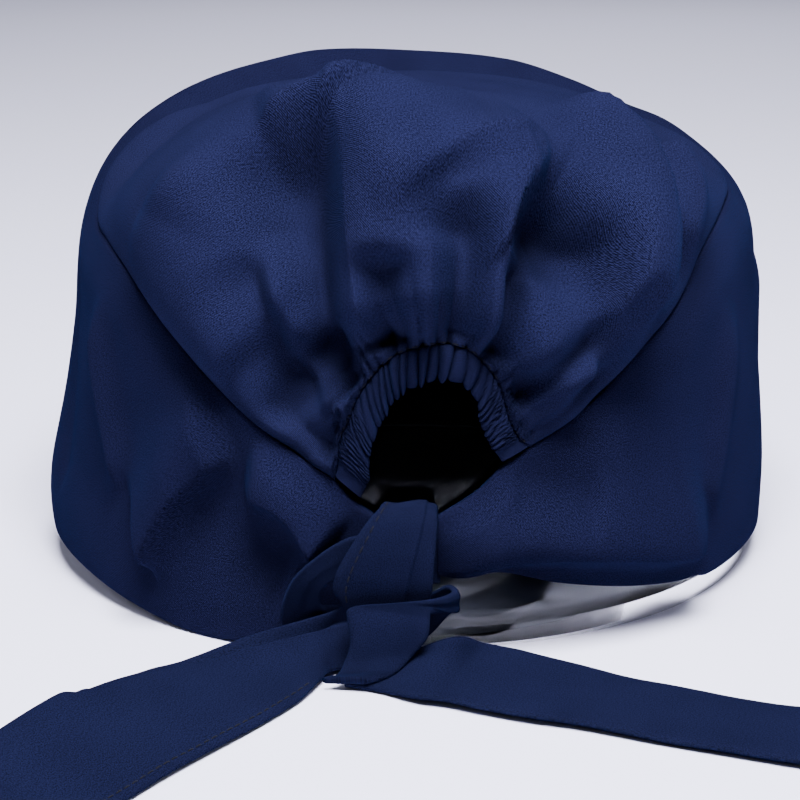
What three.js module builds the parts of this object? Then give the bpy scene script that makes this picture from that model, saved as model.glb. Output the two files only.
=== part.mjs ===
// A tie-back cloth cap on the clear plastic drum that displays it.
// Millimetres, +Z up. The back of the cap, with its opening and knot, faces -Y.
import * as THREE from "three";

// Driving dimensions
const capRadius = 106.3; // outside of the band where it is widest
const capHeight = 145.3; // top of the puffed crown
const crownWall = 1.4; // one layer of twill, puffed
const bandWall = 2; // two layers of twill
const tieWall = 2.2; // folded and stitched strap
const tieWidth = 36;
const strapLeft = 0.32; // sides of the strap that rises behind the knot, as shares of tieWidth
const strapRight = 0.18;
const pieceGap = 0.3; // between pieces that are sewn together
const endGap = 0.6; // from that strap to the ends of the band
const foldDepth = 6; // deepest gather of the crown
const foldWidth = 16; // reach of a middling gather to either side
const seamSink = 8; // how far the front seam lies below the top of the band
const seamReach = 20; // how far up the crown the seam pulls it in
const dipDepth = 10.5; // the crown slopes down to the front, behind the top of the band
const dipStart = -62; // where that slope starts, front to back from the middle of the top
const dipRun = 66; // how far it runs
const collarOut = 5; // how far the band's stiff top stands out and up round the front
const collarReach = 10; // distance below the seam where it stands out most
const bandRoll = 15; // how far below the seam the band reaches its full height
const puffOut = 5; // how far the crown stands out over the back opening
const puffReach = 20; // distance from the opening to the fullest part of the puff
const topReach = 60; // distance from the middle over which gathers grow to their full depth
const casingWidth = 9.6; // elastic channel round the back opening
const casingThickness = 3.4;
const ruffleCount = 16; // ruffles drawn up by the elastic
const ruffleHeight = 0.7;
const pleatReach = 11; // how far the ruffles run on into the crown
const footLift = 0.4; // the band's hem clears the table
const standClearance = 0.9; // from the band's hem to the foot of the stand
const standHeadroom = 2.4; // from the lowest part of the crown to the top of the stand
const standWall = 1.1;
const standFlangeWidth = 6;
const standFlangeHeight = 1.6;
const standSides = 40;

// Profile of the cap from the middle of the top down to the rim:
// distance out as a share of capRadius, height as a share of capHeight
const capSections = [
  { out: 0, up: 1 },
  { out: 0.19, up: 0.998 },
  { out: 0.376, up: 0.988 },
  { out: 0.527, up: 0.968 },
  { out: 0.668, up: 0.926 },
  { out: 0.785, up: 0.86 },
  { out: 0.875, up: 0.771 },
  { out: 0.927, up: 0.654 },
  { out: 0.953, up: 0.523 },
  { out: 0.98, up: 0.372 },
  { out: 1, up: 0.206 },
  { out: 1, up: 0.096 },
  { out: 0.992, up: 0 },
];
const profile = new THREE.SplineCurve(
  capSections.map((row) => new THREE.Vector2(row.out * capRadius, row.up * capHeight)),
);
profile.arcLengthDivisions = 400;
const profileLength = profile.getLength();
const standFootRadius = profile.getPoint(1).x - bandWall - standClearance;
const standHeight = capHeight - dipDepth - crownWall - standHeadroom;

// A place on the cap is an azimuth in degrees from the back (+ to the right, seen from behind) and
// a share of the profile from the top, `down`. Lift is the distance out from the plain profile.
const radians = (degrees) => (degrees * Math.PI) / 180;

function capPoint(azimuth, down, lift) {
  const share = Math.min(Math.max(down, 0), 1);
  const at = profile.getPointAt(share);
  const along = profile.getTangentAt(share);
  const reach = at.x - along.y * lift;
  const angle = radians(azimuth);
  return new THREE.Vector3(reach * Math.sin(angle), -reach * Math.cos(angle), at.y + along.x * lift);
}

// The same place on a flat plan of the cap, in millimetres, and back
function toPlan(azimuth, down) {
  const reach = down * profileLength;
  return new THREE.Vector2(reach * Math.sin(radians(azimuth)), -reach * Math.cos(radians(azimuth)));
}

function fromPlan(point) {
  return {
    azimuth: THREE.MathUtils.radToDeg(Math.atan2(point.x, -point.y)),
    down: point.length() / profileLength,
  };
}

// Smooth reading of one column of a table whose rows are in order of azimuth
function readTable(table, column, azimuth) {
  const last = table.length - 1;
  const value = (index) => table[Math.min(Math.max(index, 0), last)][column];
  const place = (index) => table[Math.min(Math.max(index, 0), last)].azimuth;
  const angle = Math.min(Math.max(azimuth, place(0)), place(last));
  let row = 0;
  while (row < last - 1 && angle > place(row + 1)) row += 1;
  const slope = (index) => (value(index + 1) - value(index - 1)) / (place(index + 1) - place(index - 1));
  const span = place(row + 1) - place(row);
  const t = (angle - place(row)) / span;
  const start = 2 * t ** 3 - 3 * t ** 2 + 1;
  const startSlope = t ** 3 - 2 * t ** 2 + t;
  const endSlope = t ** 3 - t ** 2;
  return (
    start * value(row) +
    (1 - start) * value(row + 1) +
    span * (startSlope * slope(row) + endSlope * slope(row + 1))
  );
}

// Seam between crown and band, from the right end of the back opening round the front to the left.
// sink is a share of seamSink, collar a share of collarOut.
const seamRows = [
  { azimuth: 17, down: 0.742, sink: 0, collar: 0 },
  { azimuth: 22, down: 0.724, sink: 0.1, collar: 0 },
  { azimuth: 29, down: 0.692, sink: 0.18, collar: 0 },
  { azimuth: 38, down: 0.645, sink: 0.25, collar: 0 },
  { azimuth: 46, down: 0.608, sink: 0.25, collar: 0 },
  { azimuth: 57, down: 0.543, sink: 0.25, collar: 0.1 },
  { azimuth: 72, down: 0.506, sink: 0.2, collar: 0.25 },
  { azimuth: 87, down: 0.495, sink: 0.15, collar: 0.6 },
  { azimuth: 99, down: 0.465, sink: 0.25, collar: 0.7 },
  { azimuth: 111, down: 0.43, sink: 0.6, collar: 0.8 },
  { azimuth: 121, down: 0.405, sink: 0.8, collar: 1 },
  { azimuth: 129, down: 0.375, sink: 0.8, collar: 0.5 },
  { azimuth: 141, down: 0.325, sink: 0.9, collar: 0.35 },
  { azimuth: 155, down: 0.28, sink: 1, collar: 0.4 },
  { azimuth: 180, down: 0.258, sink: 1, collar: 0.45 },
  { azimuth: 205, down: 0.273, sink: 1, collar: 1 },
  { azimuth: 218, down: 0.293, sink: 0.95, collar: 0.95 },
  { azimuth: 234, down: 0.33, sink: 0.85, collar: 1 },
  { azimuth: 247, down: 0.363, sink: 0.85, collar: 0.8 },
  { azimuth: 256, down: 0.392, sink: 0.55, collar: 0.55 },
  { azimuth: 264, down: 0.435, sink: 0.3, collar: 0.4 },
  { azimuth: 272, down: 0.485, sink: 0.2, collar: 0.3 },
  { azimuth: 283, down: 0.535, sink: 0.25, collar: 0.1 },
  { azimuth: 293, down: 0.545, sink: 0.25, collar: 0 },
  { azimuth: 304, down: 0.571, sink: 0.25, collar: 0 },
  { azimuth: 318, down: 0.636, sink: 0.25, collar: 0 },
  { azimuth: 328, down: 0.687, sink: 0.2, collar: 0 },
  { azimuth: 338, down: 0.735, sink: 0.12, collar: 0 },
  { azimuth: 348, down: 0.779, sink: 0, collar: 0 },
];
const seamStart = seamRows[0].azimuth;
const seamEnd = seamRows[seamRows.length - 1].azimuth;

// Azimuths that crown and band share along the seam, closest together at the back
const seamSteps = 46;
const seamAzimuths = Array.from({ length: seamSteps + 1 }, (_, step) => {
  const turn = (2 * step) / seamSteps - 1; // -1 and 1 at the back, 0 at the front
  const bent = 1.3 * turn - 0.3 * turn ** 3;
  return 0.5 * (seamStart + seamEnd) + 0.5 * (seamEnd - seamStart) * bent;
});

// Stitch line round the arch of the back opening, where crown and casing meet
const archRows = [
  { azimuth: -12, down: 0.779 },
  { azimuth: -9.8, down: 0.745 },
  { azimuth: -7.8, down: 0.695 },
  { azimuth: -5.5, down: 0.652 },
  { azimuth: -2.3, down: 0.621 },
  { azimuth: 2.5, down: 0.608 },
  { azimuth: 7, down: 0.612 },
  { azimuth: 10.6, down: 0.632 },
  { azimuth: 13.3, down: 0.666 },
  { azimuth: 15.3, down: 0.705 },
  { azimuth: 17, down: 0.742 },
];
const archCurve = new THREE.SplineCurve(archRows.map((row) => toPlan(row.azimuth, row.down)));
const archLength = archCurve.getLength();

// Edges of the band: its top follows the seam and, past the ends of the seam, drops to the knot;
// its hem lies on the table at the front and sides and rises to the knot at the back.
const azimuthAt = (across) => THREE.MathUtils.radToDeg(Math.asin(across / capRadius));
const bandStart = azimuthAt(strapRight * tieWidth + endGap);
const bandEnd = 360 - azimuthAt(strapLeft * tieWidth + endGap);
const bandTopRight = [
  { azimuth: bandStart, down: 0.822 },
  { azimuth: 9, down: 0.792 },
  { azimuth: 12.8, down: 0.764 },
  { azimuth: 17, down: 0.742 },
];
const bandTopLeft = [
  { azimuth: 348, down: 0.779 },
  { azimuth: 350.5, down: 0.802 },
  { azimuth: bandEnd, down: 0.822 },
];
const bandHem = [
  { azimuth: bandStart, down: 0.898 },
  { azimuth: 13, down: 0.904 },
  { azimuth: 22, down: 0.926 },
  { azimuth: 38, down: 0.959 },
  { azimuth: 50, down: 0.982 },
  { azimuth: 62, down: 1 },
  { azimuth: 90, down: 1 },
  { azimuth: 270, down: 1 },
  { azimuth: 325, down: 1 },
  { azimuth: 337, down: 0.99 },
  { azimuth: 346, down: 0.965 },
  { azimuth: bandEnd, down: 0.935 },
];

// Gathers and creases, each a bent line through three places. lift is a share of foldDepth (minus
// is a valley); left and right, the reach to either side seen from behind, are shares of foldWidth.
const foldRows = [
  { azimuths: [-64, -14, -6.5], downs: [0.16, 0.38, 0.6], lift: 0.9, left: 0.45, right: 1.4 },
  { azimuths: [-60, -19, -9.5], downs: [0.22, 0.44, 0.64], lift: -0.85, left: 1.1, right: 0.5 },
  { azimuths: [-26, -19, -11], downs: [0.53, 0.613, 0.67], lift: -0.7, left: 0.6, right: 0.45 },
  { azimuths: [-22, -16, -10], downs: [0.54, 0.61, 0.7], lift: 0.5, left: 0.4, right: 0.6 },
  { azimuths: [-52, -28, -15], downs: [0.45, 0.61, 0.71], lift: 0.45, left: 0.9, right: 1 },
  { azimuths: [-3, -2, -1], downs: [0.5, 0.55, 0.6], lift: -0.45, left: 0.4, right: 0.4 },
  { azimuths: [1, 3, 4], downs: [0.44, 0.52, 0.59], lift: 0.4, left: 0.5, right: 0.5 },
  { azimuths: [5, 8.5, 8], downs: [0.46, 0.55, 0.61], lift: -0.55, left: 0.5, right: 0.45 },
  { azimuths: [20, 12.5, 11], downs: [0.41, 0.53, 0.63], lift: 0.6, left: 0.6, right: 0.4 },
  { azimuths: [24, 16.5, 13.5], downs: [0.41, 0.49, 0.65], lift: -0.9, left: 0.4, right: 0.45 },
  { azimuths: [19, 29, 34], downs: [0.44, 0.48, 0.533], lift: -0.55, left: 0.8, right: 0.7 },
  { azimuths: [24, 21, 18], downs: [0.55, 0.61, 0.68], lift: 0.45, left: 0.6, right: 0.8 },
  { azimuths: [61, 50, 38], downs: [0.31, 0.453, 0.576], lift: 0.55, left: 1.3, right: 0.5 },
  { azimuths: [36, 24, 15], downs: [0.636, 0.668, 0.715], lift: -0.35, left: 0.4, right: 0.4 },
  { azimuths: [288, 302, 312], downs: [0.65, 0.757, 0.853], lift: 0.35, left: 0.6, right: 0.6 },
  { azimuths: [330, 323, 315], downs: [0.762, 0.835, 0.978], lift: -0.5, left: 0.7, right: 0.5 },
  { azimuths: [337, 344, 347], downs: [0.798, 0.835, 0.871], lift: -0.5, left: 0.5, right: 0.4 },
  { azimuths: [306, 331, 347], downs: [1, 1.02, 0.97], lift: 1.6, left: 1.5, right: 1.5 },
  { azimuths: [47, 26, 6], downs: [0.926, 0.88, 0.885], lift: 0.45, left: 0.6, right: 0.6 },
  { azimuths: [71, 60, 54], downs: [0.617, 0.747, 0.867], lift: 0.35, left: 0.6, right: 0.6 },
];
const foldSteps = 14;
const folds = foldRows.map((row) => {
  const [from, through, to] = row.azimuths.map((azimuth, index) => toPlan(azimuth, row.downs[index]));
  const control = through.clone().multiplyScalar(2).sub(from.clone().add(to).multiplyScalar(0.5));
  return { ...row, points: new THREE.QuadraticBezierCurve(from, control, to).getPoints(foldSteps) };
});

const smooth = (value) => THREE.MathUtils.smoothstep(value, 0, 1);

function oneFold(fold, place) {
  let nearest = Infinity;
  let side = 1;
  let share = 0;
  for (let step = 0; step < foldSteps; step += 1) {
    const start = fold.points[step];
    const along = fold.points[step + 1].clone().sub(start);
    const offset = place.clone().sub(start);
    const part = THREE.MathUtils.clamp(offset.dot(along) / along.lengthSq(), 0, 1);
    const distance = offset.distanceTo(along.clone().multiplyScalar(part));
    if (distance < nearest) {
      nearest = distance;
      side = Math.sign(along.cross(offset)) || 1;
      share = (step + part) / foldSteps;
    }
  }
  const reach = foldWidth * (side < 0 ? fold.left : fold.right);
  const taper = smooth(share * 4) * smooth((1 - share) * 6);
  return foldDepth * fold.lift * taper * Math.exp(-((nearest / reach) ** 2));
}

function foldLift(azimuth, down) {
  const place = toPlan(azimuth, down);
  return folds.reduce((sum, fold) => sum + oneFold(fold, place), 0);
}

// Crown: from the middle of the top out to the arch at the back and to the seam all round
const wrap = (azimuth) => ((azimuth % 360) + 360) % 360;
const foldFade = 9; // gathers flatten over this distance to a seam
const pleatPhase = (share) => Math.cos(2 * Math.PI * ruffleCount * share);

function crownColumns() {
  const columns = [];
  const archSteps = ruffleCount * 2;
  for (let step = 0; step <= archSteps; step += 1) {
    const share = step / archSteps;
    const edge = fromPlan(archCurve.getPointAt(share));
    columns.push({ azimuth: edge.azimuth, down: edge.down, pleat: pleatPhase(share), onArch: true });
  }
  for (const azimuth of seamAzimuths.slice(1, -1)) {
    columns.push({ azimuth, down: readTable(seamRows, "down", azimuth), pleat: 0, onArch: false });
  }
  return columns;
}

function crownLift(column, down) {
  const fromEdge = (column.down - down) * profileLength;
  const outward = smooth((down * profileLength) / topReach);
  const gathers = foldLift(column.azimuth, down) * smooth(fromEdge / foldFade);
  const behind = Math.cos(radians(column.azimuth));
  const hump = (fromEdge / puffReach) * Math.exp(1 - fromEdge / puffReach);
  const puff = puffOut * smooth((behind - 0.35) * 1.8) * hump;
  const pleats = ruffleHeight * column.pleat * Math.exp(-fromEdge / pleatReach);
  const dip = dipDepth * smooth((toPlan(column.azimuth, down).y - dipStart) / dipRun);
  const nearSeam = column.onArch ? 0 : 1 - smooth(fromEdge / seamReach);
  const sink = column.onArch ? 0 : seamSink * readTable(seamRows, "sink", wrap(column.azimuth));
  return outward * (gathers + puff + pleats) - dip * (1 - nearSeam) - sink * nearSeam;
}

function geometryFrom(points, triangles) {
  const geometry = new THREE.BufferGeometry();
  const numbers = points.flatMap((point) => [point.x, point.y, point.z]);
  geometry.setAttribute("position", new THREE.Float32BufferAttribute(numbers, 3));
  geometry.setIndex(triangles);
  geometry.computeVertexNormals();
  return geometry;
}

// Two grids, outside and inside, closed along their edges. Grids are [column][row].
function closedSheet(outside, inside, ring) {
  const columns = outside.length;
  const rows = outside[0].length;
  const points = [...outside.flat(), ...inside.flat()];
  const outer = (column, row) => (column % columns) * rows + row;
  const inner = (column, row) => columns * rows + outer(column, row);
  const triangles = [];
  const quad = (a, b, c, d) => triangles.push(a, b, c, a, c, d);
  const spans = ring ? columns : columns - 1;
  for (let column = 0; column < spans; column += 1) {
    for (let row = 0; row < rows - 1; row += 1) {
      const next = column + 1;
      quad(outer(column, row), outer(column, row + 1), outer(next, row + 1), outer(next, row));
      quad(inner(column, row), inner(next, row), inner(next, row + 1), inner(column, row + 1));
    }
    quad(outer(column, 0), outer(column + 1, 0), inner(column + 1, 0), inner(column, 0));
    quad(inner(column, rows - 1), inner(column + 1, rows - 1), outer(column + 1, rows - 1), outer(column, rows - 1));
  }
  if (!ring) {
    for (let row = 0; row < rows - 1; row += 1) {
      const end = columns - 1;
      quad(outer(0, row), inner(0, row), inner(0, row + 1), outer(0, row + 1));
      quad(outer(end, row), outer(end, row + 1), inner(end, row + 1), inner(end, row));
    }
  }
  return geometryFrom(points, triangles);
}

function crownGeometry() {
  const rowShares = [0.12, 0.24, 0.35, 0.45, 0.54, 0.62, 0.69, 0.75, 0.81, 0.86, 0.91, 0.955, 1];
  const columns = crownColumns();
  const count = columns.length;
  const rows = rowShares.length;
  const points = [];
  for (const wall of [0, crownWall]) {
    for (const column of columns) {
      const edge = column.down - (0.5 * pieceGap) / profileLength;
      for (const share of rowShares) {
        const down = edge * share;
        points.push(capPoint(column.azimuth, down, crownLift(column, down) - wall));
      }
    }
  }
  const middleLift = crownLift(columns[count - 1], 0);
  points.push(capPoint(0, 0, middleLift), capPoint(0, 0, middleLift - crownWall));
  const top = points.length - 2;
  const outer = (column, row) => (column % count) * rows + row;
  const inner = (column, row) => count * rows + outer(column, row);
  const triangles = [];
  const quad = (a, b, c, d) => triangles.push(a, b, c, a, c, d);
  for (let column = 0; column < count; column += 1) {
    const next = column + 1;
    triangles.push(top, outer(column, 0), outer(next, 0));
    triangles.push(top + 1, inner(next, 0), inner(column, 0));
    for (let row = 0; row < rows - 1; row += 1) {
      quad(outer(column, row), outer(column, row + 1), outer(next, row + 1), outer(next, row));
      quad(inner(column, row), inner(next, row), inner(next, row + 1), inner(column, row + 1));
    }
    quad(outer(column, rows - 1), inner(column, rows - 1), inner(next, rows - 1), outer(next, rows - 1));
  }
  return geometryFrom(points, triangles);
}

// Band: a tall strip from one side of the knot round the front to the other
function bandTop(azimuth) {
  if (azimuth < seamStart) return readTable(bandTopRight, "down", azimuth);
  if (azimuth > seamEnd) return readTable(bandTopLeft, "down", azimuth);
  return readTable(seamRows, "down", azimuth);
}

function bandLift(azimuth, down, top) {
  const fromSeam = (down - top) * profileLength;
  const sink = seamSink * readTable(seamRows, "sink", azimuth) * (1 - smooth(fromSeam / bandRoll));
  const bulge = smooth(fromSeam / collarReach) * Math.exp(-((fromSeam / collarReach / 3.2) ** 2));
  const collar = collarOut * readTable(seamRows, "collar", azimuth) * bulge;
  return foldLift(azimuth, down) * smooth(fromSeam / foldFade) + collar - sink;
}

function bandGeometry() {
  const rowShares = [0, 0.025, 0.055, 0.09, 0.14, 0.21, 0.31, 0.43, 0.57, 0.72, 0.87, 1];
  const rightEnd = bandTopRight.slice(0, -1).map((row) => row.azimuth);
  const outside = [];
  const inside = [];
  for (const azimuth of [...rightEnd, ...seamAzimuths, bandEnd]) {
    const top = bandTop(azimuth) + (0.5 * pieceGap) / profileLength;
    const hem = readTable(bandHem, "down", azimuth) - footLift / profileLength;
    const places = rowShares.map((share) => top + (hem - top) * share);
    for (const [grid, wall] of [[outside, 0], [inside, bandWall]]) {
      const line = places.map((down) => capPoint(azimuth, down, bandLift(azimuth, down, top) - wall));
      line.forEach((point) => point.setZ(Math.max(point.z, footLift)));
      grid.push(line);
    }
  }
  return closedSheet(outside, inside, false);
}

// Step on the plan that is one millimetre on the cap, square to the arch and into the opening. The
// plan is wider than the cap round the sides, by its own reach over the cap's.
function towardsOpening(edge, along) {
  const outward = edge.clone().normalize();
  const round = new THREE.Vector2(-outward.y, outward.x);
  const at = fromPlan(edge);
  const stretch = edge.length() / Math.hypot(...capPoint(at.azimuth, at.down, 0).setZ(0).toArray());
  const acrossArch = new THREE.Vector2(-along.dot(outward), along.dot(round) / stretch).normalize();
  return round.multiplyScalar(acrossArch.x * stretch).addScaledVector(outward, acrossArch.y);
}

// Elastic casing: a flat ruffled tube along the inside of the arch
function casingGeometry() {
  const steps = ruffleCount * 4;
  const sides = 8;
  const flatten = casingThickness / 2;
  const sections = [];
  for (let step = 0; step <= steps; step += 1) {
    const share = 0.012 + (0.976 * step) / steps;
    const edge = archCurve.getPointAt(share);
    const inward = towardsOpening(edge, archCurve.getTangentAt(share));
    const ruffle = pleatPhase(share);
    const section = [];
    for (let side = 0; side < sides; side += 1) {
      const angle = radians((360 * (side + 0.5)) / sides);
      const across = pieceGap + casingWidth * (0.5 - 0.54 * Math.cos(angle) * 0.926);
      const place = fromPlan(edge.clone().addScaledVector(inward, across));
      const lift = flatten * (Math.sin(angle) - 0.35) + ruffleHeight * ruffle * (0.4 + 0.6 * Math.sin(angle));
      section.push(capPoint(place.azimuth, place.down, lift));
    }
    sections.push(section);
  }
  return tubeGeometry(sections);
}

// Rings of points joined into a closed tube with flat ends
function tubeGeometry(sections) {
  const sides = sections[0].length;
  const points = sections.flat();
  const at = (section, side) => section * sides + (side % sides);
  const triangles = [];
  for (let section = 0; section < sections.length - 1; section += 1) {
    for (let side = 0; side < sides; side += 1) {
      const [a, b] = [at(section, side), at(section, side + 1)];
      const [c, d] = [at(section + 1, side + 1), at(section + 1, side)];
      triangles.push(a, b, c, a, c, d);
    }
  }
  const last = sections.length - 1;
  for (let side = 1; side < sides - 1; side += 1) {
    triangles.push(at(0, 0), at(0, side + 1), at(0, side));
    triangles.push(at(last, 0), at(last, side), at(last, side + 1));
  }
  return geometryFrom(points, triangles);
}

// Straps: a row for each section, with its two edges. Places are shares of tieWidth, measured from
// the knot, a point on the table under the back of the band.
const knot = new THREE.Vector3(0, -capRadius, 0);
const strapRows = {
  tie_left: [
    { left: [-strapLeft, 0.03, 0.56], right: [strapRight, 0.03, 0.56] },
    { left: [-strapLeft, 0.03, 0.85], right: [strapRight, 0.03, 0.85] },
    { left: [-0.3, 0.01, 1.08], right: [0.19, 0.01, 1.09] },
    { left: [-0.28, -0.12, 1.16], right: [0.21, -0.12, 1.17] },
    { left: [-0.38, -0.24, 1.04], right: [0.22, -0.24, 1.05] },
    { left: [-0.46, -0.29, 0.85], right: [0.22, -0.29, 0.85] },
    { left: [-0.49, -0.28, 0.66], right: [0.19, -0.29, 0.58] },
    { left: [-0.52, -0.27, 0.56], right: [0.05, -0.28, 0.2] },
    { left: [-0.55, -0.28, 0.5], right: [-0.25, -0.31, 0.06] },
    { left: [-0.62, -0.27, 0.45], right: [-0.61, -0.42, 0.04] },
    { left: [-0.86, -0.22, 0.36], right: [-0.7, -0.6, 0.035] },
    { left: [-1.25, -0.24, 0.25], right: [-0.78, -0.82, 0.035] },
    { left: [-1.69, -0.46, 0.18], right: [-0.88, -1.02, 0.035] },
    { left: [-1.94, -0.88, 0.28], right: [-1.14, -1.42, 0.035] },
    { left: [-2.4, -1.59, 0.39], right: [-1.65, -2.14, 0.035] },
    { left: [-2.86, -2.3, 0.33], right: [-2.11, -2.88, 0.035] },
    { left: [-3.47, -3.18, 0.12], right: [-2.67, -3.74, 0.035] },
  ],
  knot_strap: [
    { left: [0.25, -0.04, 0.62], right: [0.25, -0.04, 1.0] },
    { left: [0.06, -0.11, 0.61], right: [0.06, -0.11, 0.98] },
    { left: [-0.28, -0.14, 0.64], right: [-0.28, -0.14, 0.96] },
    { left: [-0.47, -0.16, 0.66], right: [-0.47, -0.16, 0.92] },
    { left: [-0.6, -0.16, 0.62], right: [-0.72, -0.16, 0.82] },
    { left: [-0.64, -0.14, 0.54], right: [-0.9, -0.13, 0.58] },
    { left: [-0.62, -0.1, 0.45], right: [-0.9, -0.1, 0.3] },
    { left: [-0.5, -0.08, 0.43], right: [-0.66, -0.07, 0.1] },
    { left: [-0.25, -0.09, 0.44], right: [-0.3, -0.06, 0.06] },
    { left: [0.1, -0.1, 0.5], right: [0.1, -0.08, 0.15] },
    { left: [0.33, -0.19, 0.7], right: [0.34, -0.17, 0.42] },
    { left: [0.33, -0.33, 0.74], right: [0.35, -0.33, 0.5] },
    { left: [0.1, -0.44, 0.75], right: [0.17, -0.45, 0.52] },
    { left: [-0.2, -0.46, 0.72], right: [0.13, -0.49, 0.44] },
    { left: [-0.43, -0.49, 0.55], right: [0.06, -0.53, 0.3] },
    { left: [-0.5, -0.55, 0.3], right: [-0.1, -0.6, 0.2] },
    { left: [-0.64, -0.6, 0.08], right: [-0.3, -0.66, 0.11] },
  ],
  tie_right: [
    { left: [0.04, -0.4, 0.26], right: [-0.2, -0.78, 0.035] },
    { left: [0.3, -0.32, 0.27], right: [0, -0.94, 0.035] },
    { left: [0.52, -0.14, 0.14], right: [0.2, -1.01, 0.035] },
    { left: [0.8, -0.12, 0.07], right: [0.42, -1.12, 0.035] },
    { left: [1.13, -0.33, 0.06], right: [0.75, -1.27, 0.035] },
    { left: [1.54, -0.58, 0.06], right: [1.16, -1.41, 0.035] },
    { left: [2.02, -0.84, 0.06], right: [1.66, -1.64, 0.035] },
    { left: [2.5, -1.06, 0.06], right: [2.16, -1.85, 0.035] },
    { left: [3.08, -1.21, 0.06], right: [2.72, -2.08, 0.035] },
    { left: [3.86, -1.5, 0.06], right: [3.5, -2.38, 0.035] },
  ],
};

function strapGeometry(rows, steps, across) {
  const place = (shares) => new THREE.Vector3(...shares).multiplyScalar(tieWidth).add(knot);
  const leftEdge = new THREE.CatmullRomCurve3(rows.map((row) => place(row.left)));
  const rightEdge = new THREE.CatmullRomCurve3(rows.map((row) => place(row.right)));
  const middle = [];
  for (let step = 0; step <= steps; step += 1) {
    const [from, to] = [leftEdge.getPoint(step / steps), rightEdge.getPoint(step / steps)];
    const line = [];
    for (let row = 0; row <= across; row += 1) line.push(from.clone().lerp(to, row / across));
    middle.push(line);
  }
  const normal = (step, row) => {
    const before = middle[Math.max(step - 1, 0)][row];
    const after = middle[Math.min(step + 1, steps)][row];
    const run = after.clone().sub(before).normalize();
    const width = middle[step][across].clone().sub(middle[step][0]).normalize();
    return run.cross(width).normalize();
  };
  const offset = (side) =>
    middle.map((line, step) =>
      line.map((point, row) => point.clone().addScaledVector(normal(step, row), (side * tieWall) / 2)),
    );
  const solid = closedSheet(offset(-1), offset(1), false);
  const positions = solid.getAttribute("position");
  for (let index = 0; index < positions.count; index += 1) {
    positions.setZ(index, Math.max(positions.getZ(index), 0));
  }
  return solid;
}

// Clear drum, open below: a turned wall with a flat foot
const standSections = [
  { out: 1, up: 0.02 },
  { out: 0.965, up: 0.35 },
  { out: 0.925, up: 0.55 },
  { out: 0.88, up: 0.68 },
  { out: 0.81, up: 0.78 },
  { out: 0.7, up: 0.865 },
  { out: 0.54, up: 0.935 },
  { out: 0.3, up: 0.985 },
];

function standGeometry() {
  const outside = standSections.map(
    (row) => new THREE.Vector2(row.out * standFootRadius, Math.max(row.up * standHeight, standFlangeHeight)),
  );
  const inside = standSections.map((row, index) => {
    const height = outside[index].y - standWall * smooth((row.up - 0.6) * 2.5);
    return new THREE.Vector2(outside[index].x - standWall, height);
  });
  const foot = standFootRadius - standFlangeWidth;
  const outline = [
    new THREE.Vector2(0, standHeight),
    new THREE.Vector2(0, standHeight - standWall),
    ...inside.reverse(),
    new THREE.Vector2(foot, standFlangeHeight),
    new THREE.Vector2(foot, 0),
    new THREE.Vector2(standFootRadius, 0),
    ...outside,
    new THREE.Vector2(0, standHeight),
  ];
  return new THREE.LatheGeometry(outline, standSides).rotateX(Math.PI / 2);
}

const twill = { color: 0x24407a, roughness: 0.85, metalness: 0 };
const clear = { color: 0xeef2f5, roughness: 0.08, metalness: 0, transparent: true, opacity: 0.3 };
const model = new THREE.Group();

function addPiece(name, geometry, finish) {
  const mesh = new THREE.Mesh(geometry, new THREE.MeshStandardMaterial(finish));
  mesh.name = name;
  mesh.material.name = name;
  model.add(mesh);
}

addPiece("crown", crownGeometry(), twill);
addPiece("side_band", bandGeometry(), twill);
addPiece("elastic_casing", casingGeometry(), twill);
addPiece("tie_left", strapGeometry(strapRows.tie_left, 56, 4), twill);
addPiece("knot_strap", strapGeometry(strapRows.knot_strap, 48, 3), twill);
addPiece("tie_right", strapGeometry(strapRows.tie_right, 26, 4), twill);
addPiece("clear_stand", standGeometry(), clear);

// The origin is the middle of the whole part's footprint, on the table
const extent = new THREE.Box3().setFromObject(model);
const middle = extent.getCenter(new THREE.Vector3());
model.position.set(-middle.x, -middle.y, -extent.min.z);

export default model;
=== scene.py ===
import math
import random

import bpy
import numpy as np
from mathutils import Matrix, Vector, noise


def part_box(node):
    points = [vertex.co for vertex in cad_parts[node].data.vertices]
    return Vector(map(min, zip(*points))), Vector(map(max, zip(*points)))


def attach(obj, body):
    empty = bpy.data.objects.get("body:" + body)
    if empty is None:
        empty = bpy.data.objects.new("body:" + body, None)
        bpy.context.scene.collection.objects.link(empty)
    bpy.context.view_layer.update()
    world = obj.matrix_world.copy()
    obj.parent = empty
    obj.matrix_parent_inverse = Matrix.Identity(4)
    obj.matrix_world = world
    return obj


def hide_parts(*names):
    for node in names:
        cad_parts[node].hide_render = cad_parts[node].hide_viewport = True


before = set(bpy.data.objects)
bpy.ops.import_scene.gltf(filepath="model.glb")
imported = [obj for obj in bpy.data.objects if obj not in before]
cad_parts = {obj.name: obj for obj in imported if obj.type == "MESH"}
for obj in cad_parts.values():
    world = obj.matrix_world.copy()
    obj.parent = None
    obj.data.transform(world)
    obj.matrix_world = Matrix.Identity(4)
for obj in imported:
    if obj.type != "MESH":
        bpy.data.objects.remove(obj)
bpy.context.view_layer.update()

# Camera
# It stands behind the cap, a little to the left of its middle, and looks down at it from table height.
stand_low, stand_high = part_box("clear_stand")
ring_x = (stand_low[0] + stand_high[0]) / 2
ring_y = (stand_low[1] + stand_high[1]) / 2
camera_side = -0.0043
camera_back = 0.700
camera_height = 0.2475
camera_pitch = 16.53
camera_data = bpy.data.cameras.new("camera")
camera_data.sensor_width = 36
camera_data.lens = 106.875
camera_data.clip_end = 30
camera = bpy.data.objects.new("camera", camera_data)
camera.location = (ring_x + camera_side, ring_y - camera_back, camera_height)
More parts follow.
